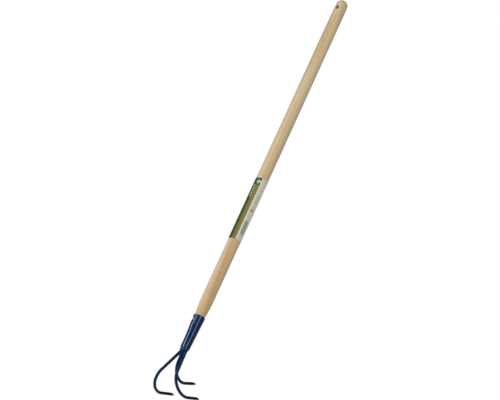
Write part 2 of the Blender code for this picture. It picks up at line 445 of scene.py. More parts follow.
woodValues = {
    "pale": tone(204, 183, 145),
    "warm": tone(204, 168, 121),
    "heartwood": tone(183, 154, 111),
    "olive": tone(193, 175, 137),
    "lateGrowth": tone(180, 150, 108),
    "pore": tone(140, 110, 74),
    "endGrain": tone(178, 150, 110),
    "bore": tone(176, 138, 86),
    "knot": tone(184, 146, 114),
    "sapwood": tone(210, 197, 172),
    "upperEdgeGrey": tone(160, 150, 125),
    "streak": tone(166, 132, 92),
    "handled": tone(177, 165, 112),  # the yellowed wood near the top
    "paintedShadeSide": tone(156, 154, 133),  # painted shade down the side away from the lamps, opposite the sapwood
    "scuff": ({"Scale": 60, "Amount": 0.25}, tone(193, 175, 137), 0.4),
    "dust": ({"Scale": 900, "Amount": 0.06}, tone(226, 218, 204), 1),
    "roughness": 0.46,
    "ringSpacing": 0.0024,
    "ringWobble": 3.4,
    "pithOffset": (0.041, -0.034, 0),
    "pithTilt": (0.012, -0.016, 0),
    "heartSide": (0.815, 0.579, 0),  # the side where the upper heartwood lies
    "sapSide": (0.711, 0.703, 0),  # the side where the sapwood lies
    # where a colour comes in: from, to, least and most
    "heartUpper": (-0.24, -0.08, 0, 0.9),
    "heartUpperEnd": (-0.002, -0.045),
    "heartAcross": (-0.004, 0.002),
    "heartLower": (-0.52, -0.64, 0, 0.85),
    "zones": [
        # colour, where it is towards the sapwood's side, and along the handle
        ("sapwood", (0.0070, 0.0122), (-0.50, -0.62, 0, 0.7)),
        ("upperEdgeGrey", (0.0040, 0.0125), (-0.28, -0.17, 0, 0.5)),
        ("handled", None, (-0.060, -0.010, 0, 0.32)),
        # painted shade along the far edge
        ("paintedShadeSide", (-0.0076, -0.0124, 0, 0.5), None),
    ],
    "streakAlong": (-0.59, -0.65, 0, 0.42),
    "streakAcross": (0.0070, 0.0018),
    "streakSlant": (0.0733, 0.0512),  # how it leans, and where it starts
    "streakDrift": 0.003,
    # the pin knot's mapping
    "knotScale": (260, 260, 120),
    "knotPlace": (2.47, -2.68, 54.66),
    "boreDepth": (0.0130, 0.0119),
    "boreHeights": (-0.02, -0.012),
}


def handleOutline(v):
    domeZ = v["aboveHole"] - v["domeHeight"]
    bodyTop = domeZ - v["topTaper"]
    shoulderZ = v["mouthZ"] + v["shoulderLength"]
    outline = [(0, v["aboveHole"])]
    for share in shares(v["domeSteps"]):
        a = pi / 2 * share
        outline.append((v["topRadius"] * sin(a), domeZ + v["domeHeight"] * cos(a)))
    for share in shares(v["taperSteps"]):
        radius = between(v, "topRadius", "bodyRadius", sin(share * pi / 2))
        outline.append((radius, domeZ - v["topTaper"] * share))
    for i in range(1, v["bodySteps"]):
        outline.append((v["bodyRadius"], bodyTop + (shoulderZ - bodyTop) * i / v["bodySteps"]))
    for share in [0, *shares(v["shoulderSteps"])]:
        radius = between(v, "bodyRadius", "mouthRadius", share ** v["shoulderPower"])
        outline.append((radius, shoulderZ - v["shoulderLength"] * share))
    for share in shares(v["tenonSteps"]):
        radius = between(v, "mouthRadius", "tenonRadius", share)
        outline.append((radius, between(v, "mouthZ", "tenonZ", share)))
    return outline


def buildHandle(v):
    def turned(radius, height, angle):
        rough = uneven(cos(angle) * 0.8, sin(angle) * 0.8, height * 14)
        return radius - v["wander"] * (0.5 + 0.5 * rough) * min(1, radius / 0.008)

    handle = addMesh("handleTurned", lathe(handleOutline(v), v["sides"], turned))
    # a drill that flares at both mouths, so that the hole's rims come out eased
    ease, rims = v["holeEasing"], v["holeRims"]
    wide = v["holeRadius"] + 2.2 * ease
    profile = [(0, -v["drillReach"]), (wide, -v["drillReach"]), (wide, -rims)]
    for a in (0.2, 0.6, 1, 1.57):
        flare = ease * (1 - sin(a)) * 1.4
        profile.append((v["holeRadius"] + flare, -rims + v["rimDepth"] * sin(a)))
    profile += [(radius, -height) for radius, height in reversed(profile)]
    drill = addMesh("drill", lathe(profile, 48))
    spin = turnAbout("Z", v["holeTurn"]) @ turnAbout("X", 90)
    drill.data.transform(Matrix.Diagonal(v["holeShape"]) @ spin)
    cutAway(handle, drill)
    return handle


def woodMaterial(v):
    material, tree, shader, place = newMaterial("handleWood")
    along = axisOf(place, "Z")
    # growth rings round a pith that lies outside the stick
    bent = grainOn(place, (38, 38, 2.2), 2)
    fromPith = lengthOf(stretch(place, (1, 1, 0), v["pithTilt"], v["pithOffset"]))
    rings = plus(calc("DIVIDE", fromPith, v["ringSpacing"]), times(bent, v["ringWobble"]))
    growth = calc("FRACT", rings)
    late = ramp(growth, [(0, tone(0)), (0.45, tone(30)), (0.86, tone(255)), (0.97, tone(0))])
    # slow drifts between pale, warm and olive along the stick
    warmDrift = grainOn(place, (150, 150, 3.2), 3)
    oliveDrift = grainOn(place, (95, 95, 2.4), 3, turn=(0, 0, 0.7), move=(3, 1, 2))
    heartSide = fade(towards(place, v["heartSide"]), *v["heartAcross"])
    heartEnd = fade(along, *v["heartUpperEnd"])
    upperHeart = times(fade(along, *v["heartUpper"]), heartSide, heartEnd)
    heart = highest(upperHeart, fade(along, *v["heartLower"]))
    patches = fade(warmDrift, 0.40, 0.66, 0, 0.7)
    heartPatches = times(heart, fade(warmDrift, 0.2, 0.6, 0.7, 1.1))
    colour = blendColour(highest(patches, heartPatches, clamp=True), v["pale"], v["warm"])
    outsideHeart = minus(1, times(heart, 0.8))
    colour = layOn(colour, v["olive"], fade(oliveDrift, 0.44, 0.64, 0, 0.85), outsideHeart)
    colour = layOn(colour, v["heartwood"], upperHeart, 0.75)
    # sapwood down one side, a greyer tone at its edge higher up, yellowed where hands have held it, and
    # painted shade down the far side
    sapwards = towards(place, v["sapSide"])
    for name, *limits in v["zones"]:
        masks = [fade(value, *limit) for value, limit in zip((sapwards, along), limits) if limit]
        colour = layOn(colour, v[name], *masks)
    # a slanting streak of heartwood near the socket
    middle = calc("MULTIPLY_ADD", along, *v["streakSlant"])
    fromMiddle = calc("ABSOLUTE", minus(sapwards, middle))
    fromMiddle = plus(fromMiddle, times(warmDrift, v["streakDrift"]))
    colour = layOn(colour, v["streak"], fade(fromMiddle, *v["streakAcross"]), fade(along, *v["streakAlong"]))
    colour = layOn(colour, v["lateGrowth"], late, 0.20)
    # long fibres and short open pores
    fibres = grainOn(place, (1500, 1500, 24), 3, 0.6)
    threads = grainOn(place, (560, 560, 9), 3, 0.6, turn=(0, 0, 0.3))
    stops = [(0.30, tone(222, 218, 212)), (0.52, tone(255)), (0.72, tone(236, 232, 226))]
    tint = ramp(plus(times(fibres, 0.5), times(threads, 0.5)), stops)
    colour = blendColour(0.5, colour, tint, "MULTIPLY")
    poreNoise = grainOn(place, (2600, 2600, 95), 1, 0.4)
    pores = times(fade(poreNoise, 0.64, 0.72), fade(growth, 0.5, 0.9, 0.25, 0.9))
    colour = layOn(colour, v["pore"], pores, 0.32)
    # a pink pin knot just above the label
    knot = lengthOf(stretch(place, v["knotScale"], (0, 0, 0), v["knotPlace"]))
    colour = layOn(colour, v["knot"], fade(knot, 1, 0.35, 0, 0.6))
    # end grain on the dome, raw wood in the bore
    upright = calc("ABSOLUTE", axisOf(facing(tree), "Z"))
    endPores = fade(noiseOn(place, 2300, 2, 0.6), 0.45, 0.7)
    endColour = layOn(v["endGrain"], v["pore"], endPores, 0.6)
    colour = layOn(colour, endColour, fade(upright, 0.35, 0.95, 0, 0.6))
    fromAxis = lengthOf(stretch(place, (1, 1, 0)))
    inBore = times(fade(fromAxis, *v["boreDepth"]), fade(along, *v["boreHeights"]))
    colour = layOn(colour, v["bore"], inBore)
    colour, scuff, dust = aged(colour, v, "scuff", "dust")
    grain = minus(plus(times(fibres, 0.6), times(threads, 0.5)), times(pores, 0.7))
    gloss = plus(v["roughness"] - 0.06, times(fibres, 0.18), times(inBore, 0.3))
    setShader(shader, {
        "Base Color": colour,
        "Roughness": plus(gloss, times(pores, 0.2), clamp=True),
        "IOR": 1.48,
        "Normal": bumpOf(0.5, 0.00004, plus(grain, times(scuff["Height"], 0.15))),
    })
    return material


handle = buildHandle(handleValues)
addToTool(handle, woodMaterial(woodValues), "turned_wood", "handle")
print("handle turned and drilled:", len(handle.data.vertices), "points")


# Label

labelValues = {
    "innerRadius": 0.01426,
    "thickness": 0.00018,
    "topZ": -0.4610,
    "length": 0.1540,
    "faceTurn": 134.3,  # where the two halves of the print meet, in degrees from +X
    "joinGap": 0.003,
    "lift": 0.00016,  # how far the free edges stand off
    "liftReach": 0.0022,
    "endLift": 0.00005,
    "endReach": 0.0015,
    "ripple": 0.00003,
    "cutWander": 0.00012,  # how far the cut ends stray from straight
    "columns": 140, "rows": 90,
}

# sizes on the print are in millimetres, across from the meeting line and up from the lower end
printValues = {
    "green": tone(48, 86, 18),
    "deepGreen": tone(38, 78, 24),
    "brown": tone(118, 98, 22),
    "gold": tone(150, 128, 46),
    "oliveLine": tone(124, 122, 72),
    "cream": tone(218, 217, 188),
    "paper": tone(200, 196, 186),
    "pale": tone(206, 216, 194),
    "ink": tone(62, 60, 54),
    "faintInk": tone(140, 136, 128),
    "scuff": ({"Scale": 95, "Amount": 0.30}, tone(190, 186, 170), 0.45),
    "wear": ({"Scale": 700, "Amount": 0.55, "Radius": 0.0005}, tone(196, 186, 164), 0.6),
    "dust": ({"Scale": 900, "Amount": 0.04}, tone(220, 216, 206), 1),
    "bandsStart": 14,
    "bandsWidth": 20,
    "bands": [
        (0.00, "deepGreen"), (0.18, "green"), (0.26, "green"), (0.33, "brown"), (0.44, "brown"),
        (0.50, "gold"), (0.56, "gold"), (0.60, "oliveLine"), (0.695, "oliveLine"), (0.71, "cream"),
        (0.80, "cream"), (0.88, "paper"),
    ],
    "strawAcross": (-8.2, -2.2, 0.6),
    "capHeight": (136.2, 136.8),
    "leaves": [
        # across, height, turn, length, width
        (-2.6, 145.6, -0.62, 8.6, 3.9),
        (-7.4, 145, 0.60, 8.6, 3.9),
        (-5, 141.2, 0, 6.4, 3),
    ],
    "seedSpacing": 6.2,
    "seedAcross": -11.2,
    "seedHeights": (105.4, 136.4, 0.1),
    "squarePlace": (8.4, 75.6),
    "rows": [
        # colour, strength, limits across and up, repeated across 0 or up 1, start, spacing, printed share
        ("ink", 0.85, (4, 13.4, 0.15), (14.4, 49.4, 0.15), 1, 0, 2.2, (0.22, 0.76, 0.06)),
        ("faintInk", 0.6, (8, 13.4, 0.1), (92, 116, 0.1), 0, 8, 1.9, (0.15, 0.55, 0.06)),
    ],
    "roughness": 0.34,
}

backingValues = {
    "shaded": tone(206, 200, 188),
    "white": tone(232, 228, 220),
    "roughness": 0.5,
}


def buildLabel(v):
    bm = bmesh.new()
    uvLayer = bm.loops.layers.uv.new("wrap")
    columns, rows = v["columns"], v["rows"]
    half = pi - v["joinGap"] / 2 / v["innerRadius"]
    wrap = {}

    def ringPoint(i, j, outer):
        across, along = i / columns, j / rows
        angle = radians(v["faceTurn"]) + half * (2 * across - 1)
        edge = min(across, 1 - across) * 2 * half * v["innerRadius"]
        rise = v["lift"] * exp(-edge / v["liftReach"]) * (0.6 + 0.4 * uneven(along * 9, across * 3, 4))
        end = min(along, 1 - along) * v["length"]
        rise += v["endLift"] * exp(-end / v["endReach"])
        ripple = v["ripple"] * uneven(across * 14, along * 24, 1)
        radius = v["innerRadius"] + rise + ripple + (v["thickness"] if outer else 0)
        z = v["topZ"] - v["length"] * (1 - along)
        if along in (0, 1):
            z += v["cutWander"] * uneven(across * 30, 2 + 5 * along, 7)
        vert = bm.verts.new(polar(radius, angle, z))
        wrap[vert] = (across, along)
        return vert

    def addFace(index, *corners):
        face = bm.faces.new(corners)
        face.material_index = index
        for loop in face.loops:
            loop[uvLayer].uv = wrap[loop.vert]

    outer, inner = (
        [[ringPoint(i, j, side) for j in range(rows + 1)] for i in range(columns + 1)]
        for side in (True, False)
    )
    for i in range(columns):
        for j in range(rows):
            addFace(0, outer[i][j], outer[i + 1][j], outer[i + 1][j + 1], outer[i][j + 1])
            addFace(1, inner[i][j], inner[i][j + 1], inner[i + 1][j + 1], inner[i + 1][j])
        for j in (0, rows):
            addFace(1, outer[i][j], outer[i + 1][j], inner[i + 1][j], inner[i][j])
    for i in (0, columns):
        for j in range(rows):
            addFace(1, outer[i][j], outer[i][j + 1], inner[i][j + 1], inner[i][j])
    return addMesh("labelFilm", bm)


def leafGroup():
    # 1 inside a pointed leaf with a clear rib; Across and Along are millimetres from its middle
    sizes = {"Across": 0, "Along": 0, "Turn": 0, "Length": 9, "Width": 4}
    group, given, out = newGroup("leafShape", sizes, ["Mask"])
    across, along = given["Across"], given["Along"]
    cosine = calc("COSINE", given["Turn"])
    sine = calc("SINE", given["Turn"])
    x = minus(times(across, cosine), times(along, sine))
    y = plus(times(across, sine), times(along, cosine))
    reach = calc("POWER", calc("DIVIDE", y, times(given["Length"], 0.5)), 2)
    side = calc("DIVIDE", calc("ABSOLUTE", x), times(given["Width"], 0.5))
    inside = fade(plus(side, reach), 1.06, 0.96)
    rib = fade(calc("ABSOLUTE", x), 0.18, 0.30)
    feed(times(inside, rib), out["Mask"])
    return group


def printMaterial(v, sizes):
    material, tree, shader, place = newMaterial("labelPrint")
    uv = addNode(tree, "UVMap", uv_map="wrap").outputs[0]
    girth = tau * sizes["innerRadius"] * 1000
    across = times(minus(axisOf(uv, "X"), 0.5), girth)
    height = times(axisOf(uv, "Y"), sizes["length"] * 1000)
    # printed bands with slightly uneven edges
    wavy = plus(across, times(grainOn(place, (900, 900, 160), 1), 0.25))
    share = calc("DIVIDE", plus(wavy, v["bandsStart"]), v["bandsWidth"], clamp=True)
    colour = ramp(share, [(at, v[name]) for at, name in v["bands"]])
    # straw-fine lines that lean a little, on the brown and gold
    lean = plus(times(across, 7.5), times(height, 1.1))
    lines = fade(calc("SINE", lean), -0.2, 0.9, 0, 0.22)
    colour = layOn(colour, v["deepGreen"], band(across, *v["strawAcross"]), lines)
    # green cap over the left half's upper end, with a sprig of three leaves
    colour = layOn(colour, v["green"], fade(height, *v["capHeight"]), fade(across, 0.1, -0.2))
    leaf = leafGroup()
    leaves = []
    for atAcross, atHeight, turn, length, width in v["leaves"]:
        x = minus(across, atAcross)
        y = minus(height, atHeight)
        leaves.append(useGroup(tree, leaf, Across=x, Along=y, Turn=turn, Length=length, Width=width)["Mask"])
    colour = layOn(colour, v["pale"], highest(*leaves), 0.92)
    # a column of seed shapes down the green
    turns = repeat(height, v["seedSpacing"])
    step = minus(times(turns, v["seedSpacing"]), v["seedSpacing"] / 2)
    x = minus(across, v["seedAcross"])
    seed = useGroup(tree, leaf, Across=x, Along=step, Turn=0.5, Length=5.6, Width=3.4)["Mask"]
    colour = layOn(colour, v["pale"], seed, band(height, *v["seedHeights"]), 0.9)
    # evenly spaced stripes, thin rules and a small framed square on the bare half
    for name, strength, acrossLimits, heightLimits, axis, start, spacing, printed in v["rows"]:
        lines = band(repeat(minus((across, height)[axis], start), spacing), *printed)
        block = times(lines, band(height, *heightLimits), band(across, *acrossLimits))
        colour = layOn(colour, v[name], block, strength)
    dx, dy = (calc("ABSOLUTE", minus(*pair)) for pair in zip((across, height), v["squarePlace"]))
    fromMiddle = highest(dx, dy)
    colour = layOn(colour, v["ink"], fade(fromMiddle, 3.1, 2.9), fade(fromMiddle, 1.5, 1.7, 0.35, 1), 0.75)
    # print grain, scuffs, worn edges and dust
    speck = noiseOn(place, 3800, 2, 0.6)
    grain = ramp(speck, [(0.3, tone(214)), (0.6, tone(255))])
    colour = blendColour(0.35, colour, grain, "MULTIPLY")
    colour, scuff, wear, dust = aged(colour, v, "scuff", "wear", "dust")
    puckers = grainOn(place, (260, 260, 60), 2)
    setShader(shader, {
        "Base Color": colour,
        "Roughness": plus(v["roughness"], times(speck, 0.10), times(scuff["Mask"], 0.25)),
        "IOR": 1.38,
        "Normal": bumpOf(0.5, 0.00022, plus(times(puckers, 0.8), times(scuff["Height"], 0.08))),
    })
    return material


def backingMaterial(v):
    # the film's white body, seen at its cut edges
    material, tree, shader, place = newMaterial("labelBacking")
    cloud = noiseOn(place, 1500, 3, 0.6)
    setShader(shader, {
        "Base Color": ramp(cloud, [(0.3, v["shaded"]), (0.7, v["white"])]),
        "Roughness": plus(v["roughness"], times(cloud, 0.2)),
        "Normal": bumpOf(0.4, 0.00005, cloud),
    })
    return material


label = buildLabel(labelValues)
addToTool(label, printMaterial(printValues, labelValues), "label_film", "label")
label.data.materials.append(backingMaterial(backingValues))
print("label wrapped and printed:", len(label.data.polygons), "faces")


# Enamel on the socket, the tines and the weld

enamelValues = {
    "full": tone(5, 31, 74),
    "thin": tone(9, 40, 92),
    "shine": (0.50, 0.71, 1, 1),  # the blue that the gloss coat keeps
    "wear": ({"Scale": 1100, "Amount": 0.40, "Radius": 0.0005}, tone(62, 82, 116), 0.5),
    "scuff": ({"Scale": 150, "Amount": 0.5}, tone(62, 82, 116), 0.16),
    "steel": tone(120, 124, 128),
    "dust": ({"Scale": 520, "Amount": 0.03}, tone(96, 106, 124), 1),
}

socketPaint = {
    **enamelValues,
    "roughness": 0.15,
    "density": 1.9,  # the gloss coat's index
    "peel": 620,
    "peelDepth": 0.000014,
    # painted shade: a darker, greener navy on the socket's side away from the lamps
    "shaded": tone(12, 38, 67),
    "shadedSide": (-0.707, -0.707, 0),  # away from the seam
    "shadedAcross": (0.000, 0.006),
    "forcedSide": (-0.087, 0.996, 0),  # beside the screw, where the coat is dull
    "forcedAcross": (0.0094, 0.0114),
    "forcedHeights": (-0.831, -0.825),
    "forcedDulls": 0.22,
}

rodPaint = {
    **enamelValues,
    # painted shade: the rods' navy is set darker than the socket's, though it is the same enamel
    "full": tone(6, 29, 66),
    "thin": tone(8, 35, 76),
    "tip": tone(0, 7, 26),
    "tipReach": (0.010, 0.036),  # how far out the painted shade on the rods reaches
    "roughness": 0.36,
    "density": 1.38,
    "shine": (0.36, 0.66, 0.95, 1),
    "peel": 760,
    "peelDepth": 0.00002,
}

weldPaint = {
    **enamelValues,
    "roughness": 0.16,
    "density": 1.8,
    "peel": 900,
    "peelDepth": 0.00002,
    "wear": ({"Scale": 1100, "Amount": 0.35, "Radius": 0.0005}, tone(62, 82, 116), 0.5),
}


def enamelMaterial(name, v):
    material, tree, shader, place = newMaterial(name)
    flow = useGroup(tree, paintFlow, Peel=v["peel"], Waves=v["peel"] * 0.16)
    coverage = fade(noiseOn(place, 46, 3, 0.55), 0.35, 0.72, 0, 0.55)
    colour = blendColour(coverage, v["full"], v["thin"])
    # painted shade: the rods darken out towards their hooked points
    if "tip" in v:
        outwards = times(axisOf(place, "Y"), -1)
        colour = layOn(colour, v["tip"], fade(outwards, *v["tipReach"]))
    dulled = 0
    if "shaded" in v:
        # painted shade over the socket's side away from the lamps
        shaded = fade(towards(place, v["shadedSide"]), *v["shadedAcross"])
        colour = layOn(colour, v["shaded"], shaded)
        beside = fade(towards(place, v["forcedSide"]), *v["forcedAcross"])
        high = fade(axisOf(place, "Z"), *v["forcedHeights"])
        dulled = times(beside, high, v["forcedDulls"])
    colour, wear, scuff = aged(colour, v, "wear", "scuff")
    bare = times(fade(wear["Mask"], 0.8, 1), fade(noiseOn(place, 2600, 2), 0.55, 0.62))
    colour, dust = aged(layOn(colour, v["steel"], bare), v, "dust")
    worn = times(wear["Mask"], 0.25)
    skin = plus(flow["Height"], times(scuff["Height"], 0.12))
    gloss = plus(v["roughness"] - 0.04, times(flow["Gloss"], 0.08), times(scuff["Mask"], 0.2), worn, dulled)
    setShader(shader, {
        "Base Color": colour,
        "Metallic": times(bare, 0.8),
        "Roughness": plus(gloss, times(dust["Mask"], 0.5), clamp=True),
        "Specular Tint": v["shine"],
        "IOR": v["density"],
        "Normal": bumpOf(0.6, v["peelDepth"], minus(skin, worn)),
    })
    return material


# Socket, and the sizes of the screw that it is drilled for

screwValues = {
    "z": -0.8160,
    "headRadius": 0.00308,
    "headHeight": 0.00195,
    "headEdge": 0.0003,  # how thick the head is at its rim
    "headRound": 0.9,
    "rimEase": 0.0001,
    "shankRadius": 0.0016,
    "length": 0.0158,
    "recessTurns": (12, 102),  # degrees
    "recessWidth": 0.00085,
    "recessReach": 0.0036,
    "recessDepth": 0.0012,
    "recessTaper": (0.45, 0.7),  # how much of its reach and width is left at the bottom
    "easing": 0.00006,
    "standOff": 0.00012,  # from the socket's wall
    "sides": 48,
}

socketValues = {
    "mouthZ": -0.8050,
    "endZ": -0.8822,
    "mouthRadius": 0.01268,
    "endRadius": 0.00972,
    "wall": 0.0012,
    "lipRound": 0.00035,
    "screwHole": 0.00195,
    "holeDepth": 0.012,
    "seamTurn": 78,  # degrees from +X
    "seamWidth": 0.0008,
    # shares of the seam's width
    "seamHalf": 0.52,
    "seamCloses": 0.10,
    "seamWander": 0.03,
    "seamOpened": 0.8,  # how far it is open just below the screw
    "openedBelow": 0.007,
    "openedReach": 0.006,
    "rollMarks": 0.00005,  # faint flats left by rolling the sheet
    "flats": 9,
    "sprung": 0.0008,  # how far the wall stands out beside the seam
    "sprungReach": 0.011,
    "forced": 0.0007,  # and once more where it is forced open just below the screw
    "forcedReach": 0.0065,
    "forcedZ": -0.8245,
    "forcedStretch": 0.7,
    "pinch": 0.0008,  # how far the screw has drawn the wall in again
    "pinchReach": 0.0045,
    "flare": 0.0003,  # how far the mouth is belled
    "flareReach": 0.05,
    # the lower end: pushed out by the right tine, with a ridge over the rods at its back
    "swollen": 0.0010,
    "swollenTurn": 45,
    "swollenFrom": 0.72,  # shares of the length, from the mouth
    "swollenOver": 0.22,
    "swollenPower": 5,
    "swollenRise": 1.5,
    "ridge": 0.0004,
    "ridgeTurn": 121,
    "ridgeWidth": 0.30,  # radians
    "ridgeFrom": 0.68,
    "ridgeOver": 0.24,
    "sides": 120,
    "rows": 30,
}


def socketRadius(v, z):
    return between(v, "mouthRadius", "endRadius", (v["mouthZ"] - z) / (v["mouthZ"] - v["endZ"]))


def socketOutline(v):
    # one side of the tube's wall, outside down and inside up again
    outer = []
    for share in [0, *shares(v["rows"])]:
        z = between(v, "mouthZ", "endZ", share)
        outer.append((socketRadius(v, z), z))
    return outer + [(radius - v["wall"], z) for radius, z in reversed(outer)]


def besideSeam(v, z, down, across):
    # how far the wall stands out near the seam, from its spring, the screw and the belled mouth
    out = v["sprung"] * bell(across, v["sprungReach"])
    out += v["forced"] * bell(hypot((z - v["forcedZ"]) * v["forcedStretch"], across), v["forcedReach"])
    out -= v["pinch"] * bell(hypot(z - screwValues["z"], across), v["pinchReach"])
    return out + v["flare"] * exp(-down / v["flareReach"])


def lowerEnd(v, down, angle):
    # how far the rods push the lower end out
    side = max(0, cos(angle - radians(v["swollenTurn"]))) ** v["swollenPower"]
    out = v["swollen"] * side * held((down - v["swollenFrom"]) / v["swollenOver"]) ** v["swollenRise"]
    turned = (angle - radians(v["ridgeTurn"]) + pi) % tau - pi
    return out + v["ridge"] * bell(turned, v["ridgeWidth"]) * held((down - v["ridgeFrom"]) / v["ridgeOver"])


def buildSocket(v):
    bm = bmesh.new()
    outline = socketOutline(v)
    seam = radians(v["seamTurn"])
    sections = []
    for k in range(v["sides"] + 1):
        share = k / v["sides"]
        section = []
        for radius, z in outline:
            down = (v["mouthZ"] - z) / (v["mouthZ"] - v["endZ"])
            opened = v["seamOpened"] * bell(z - screwValues["z"] + v["openedBelow"], v["openedReach"])
            half = v["seamHalf"] - v["seamCloses"] * down + opened + v["seamWander"] * uneven(z * 90, 3, 0)
            gap = v["seamWidth"] * half
            angle = seam + gap / radius + share * (tau - 2 * gap / radius)
            marks = 0.5 + 0.5 * cos(v["flats"] * angle + 3 * uneven(0, 0, z * 20))
            press = down * (0.5 + 0.5 * uneven(cos(angle), sin(angle), z * 60))
            across = 2 * radius * sin((angle - seam) / 2)
            r = radius - v["rollMarks"] * marks - v["rollMarks"] * 2 * press
            r = r + besideSeam(v, z, down, across) + lowerEnd(v, down, angle)
            section.append(bm.verts.new(polar(r, angle, z)))
        sections.append(section)
    for first, second in zip(sections, sections[1:]):
        joinRings(bm, first, second)
    bm.faces.new(sections[0])
    bm.faces.new(sections[-1])
    socket = addMesh("socketRolled", bm)
    # the hole is drilled before the lips are eased, so that its rim is eased too
    drill = bmesh.new()
    hole, depth = v["screwHole"], v["holeDepth"]
    place = turnAbout("Z", v["seamTurn"]) @ Matrix.Translation((depth, 0, screwValues["z"]))
    place = place @ turnAbout("Y", 90)
    bmesh.ops.create_cone(
        drill, cap_ends=True, segments=40, radius1=hole, radius2=hole, depth=depth, matrix=place)
    cutAway(socket, addMesh("drill", drill))
    easeEdges(socket, v["lipRound"], 3, 50)
    return socket


socket = buildSocket(socketValues)
addToTool(socket, enamelMaterial("socketEnamel", socketPaint), "blue_paint", "socket")
print("socket rolled:", len(socket.data.vertices), "points")


# Screw

zincValues = {
    "bright": tone(174, 188, 180),
    "dull": tone(128, 142, 136),
    "stain": tone(120, 116, 92),
    "scuff": ({"Scale": 420, "Amount": 0.8}, tone(174, 188, 180), 0.5),
    "wear": ({"Scale": 2400, "Amount": 0.6, "Radius": 0.0002}, tone(174, 188, 180), 0.6),
    "roughness": 0.30,
}


def screwOutline(v, seat):
    # from the top of the head to the shank's end
    outline = [(0, seat + v["headHeight"])]
    for share in shares(12):
        a = pi / 2 * share
        height = seat + between(v, "headEdge", "headHeight", cos(a))
        outline.append((v["headRadius"] * sin(a) ** v["headRound"], height))
    outline.append((v["headRadius"] - v["rimEase"] / 2, seat + v["rimEase"]))
    outline.append((v["headRadius"] - v["rimEase"] * 2, seat))
    outline += [(v["shankRadius"], seat), (v["shankRadius"], seat - v["length"] * 0.75)]
    outline.append((0, seat - v["length"]))
    return outline


def buildScrew(v):
    seat = socketRadius(socketValues, v["z"]) + v["standOff"]
    screw = addMesh("screwZinc", lathe(screwOutline(v, seat), v["sides"]))
    reachLeft, widthLeft = v["recessTaper"]
    arms = []
    for turn in v["recessTurns"]:
        bm = bmesh.new()
        bmesh.ops.create_cube(bm, size=1)
        for vert in bm.verts:
            deep = vert.co.z < 0
            vert.co.x *= v["recessReach"] * (reachLeft if deep else 1)
            vert.co.y *= v["recessWidth"] * (widthLeft if deep else 1)
            vert.co.z *= 2 * v["recessDepth"]
        spin = turnAbout("Z", turn) @ Matrix.Translation((0, 0, seat + v["headHeight"]))
        bmesh.ops.transform(bm, matrix=spin, verts=bm.verts)
        arms.append(addMesh("arm", bm))
    cutAway(screw, *arms)
    easeEdges(screw, v["easing"], 2, 40)
    place = turnAbout("Z", socketValues["seamTurn"]) @ Matrix.Translation((0, 0, v["z"]))
    screw.data.transform(place @ turnAbout("Y", 90))
    return screw


def zincMaterial(v):
    material, tree, shader, place = newMaterial("screwZinc")
    cloud = noiseOn(place, 900, 3, 0.6)
    colour = blendColour(fade(cloud, 0.35, 0.65), v["bright"], v["dull"])
    stain = fade(noiseOn(place, 420, 4, 0.65), 0.58, 0.72, 0, 0.4)
    colour = layOn(colour, v["stain"], stain)
    colour, scuff, wear = aged(colour, v, "scuff", "wear")
    setShader(shader, {
        "Base Color": colour,
        "Metallic": 1,
        "Roughness": plus(v["roughness"], times(cloud, 0.14), times(scuff["Mask"], 0.2)),
        "Normal": bumpOf(0.5, 0.00003, plus(times(cloud, 0.4), times(scuff["Height"], 0.4))),
    })
    return material


screw = buildScrew(screwValues)
addToTool(screw, zincMaterial(zincValues), "screw_steel", "screw")
print("screw driven")


# Tines

tineValues = {
    "radius": 0.00330,
    "offset": 0.00376,  # from the tool's axis to each rod in the bundle
    "bundleTurn": 30,  # degrees from X to the outer rods' places
    "topZ": -0.8635,
    "exitRadius": 0.012,  # of the bend where a rod turns out of the bundle
    "pointLength": 0.0068,
    "pointThick": 0.0030,
    "pointWide": 0.0046,
    "pointPower": 0.72,
    "pointSteps": 12,
    "hammered": 0.00012,
    "squareness": 0.10,
    "nose": 0.0002,  # how far the closed point stands past the last ring
    "noseWidth": 0.72,
    "drawn": 0.00030,  # weld and paint drawn down the rod below the bead
    "drawnFrom": -0.886,
    "drawnTo": -0.910,
    "drawnLimit": 0.004,
    "flattened": 0.035,  # share that a bent bar loses across the bend, and along it
    "narrowed": 0.005,
    "wander": 0.00005,
    "sides": 28,
    "ringSpacing": 0.0022,
    "ringTurn": 3.2,  # degrees
}

# lengths in metres, angles in degrees
outerBends = {
    "heldLength": 0.0120, "splay": 16.44, "lean": 14.75, "shankLength": 0.06814,
    "hookRadius": 0.0331, "hookAngle": 126.5, "hookSpread": 0.093, "tipLength": 0.0360,
}

middleBends = {
    "heldLength": 0.0200, "splay": 0, "lean": -3.1, "shankLength": 0.0321,
    "hookRadius": 0.0316, "hookAngle": 113, "hookSpread": 0, "tipLength": 0.0313,
}


def goStraight(v, path, direction, length):
    start = path[-1][0]
    steps = max(1, round(length / v["ringSpacing"]))
    for i in range(1, steps + 1):
        path.append((start + direction * length * i / steps, 0))


def goRound(v, path, direction, target, radius, angle=None):
    # adds an arc; the second value of each point says how hard the rod is bent there
    side = (target - direction * direction.dot(target)).normalized()
    turn = direction.angle(target) if angle is None else radians(angle)
    start = path[-1][0]
    steps = max(3, ceil(turn / radians(v["ringTurn"])))
    for i in range(1, steps + 1):
        a = turn * i / steps
        point = start + radius * (sin(a) * direction + (1 - cos(a)) * side)
        path.append((point, 0.02 / radius if i < steps else 0))
    return (cos(turn) * direction + sin(turn) * side).normalized()


def tinePath(v, b, x, y):
    path = [(Vector((x, y, v["topZ"])), 0)]
    down = Vector((0, 0, -1))
    out = Vector((tan(radians(b["splay"])), tan(radians(b["lean"])), -1)).normalized()
    goStraight(v, path, down, b["heldLength"])
    direction = goRound(v, path, down, out, v["exitRadius"])
    goStraight(v, path, direction, b["shankLength"])
    forwards = Vector((b["hookSpread"], -1, 0))
    direction = goRound(v, path, direction, forwards, b["hookRadius"], b["hookAngle"])
    goStraight(v, path, direction, b["tipLength"])
    return path


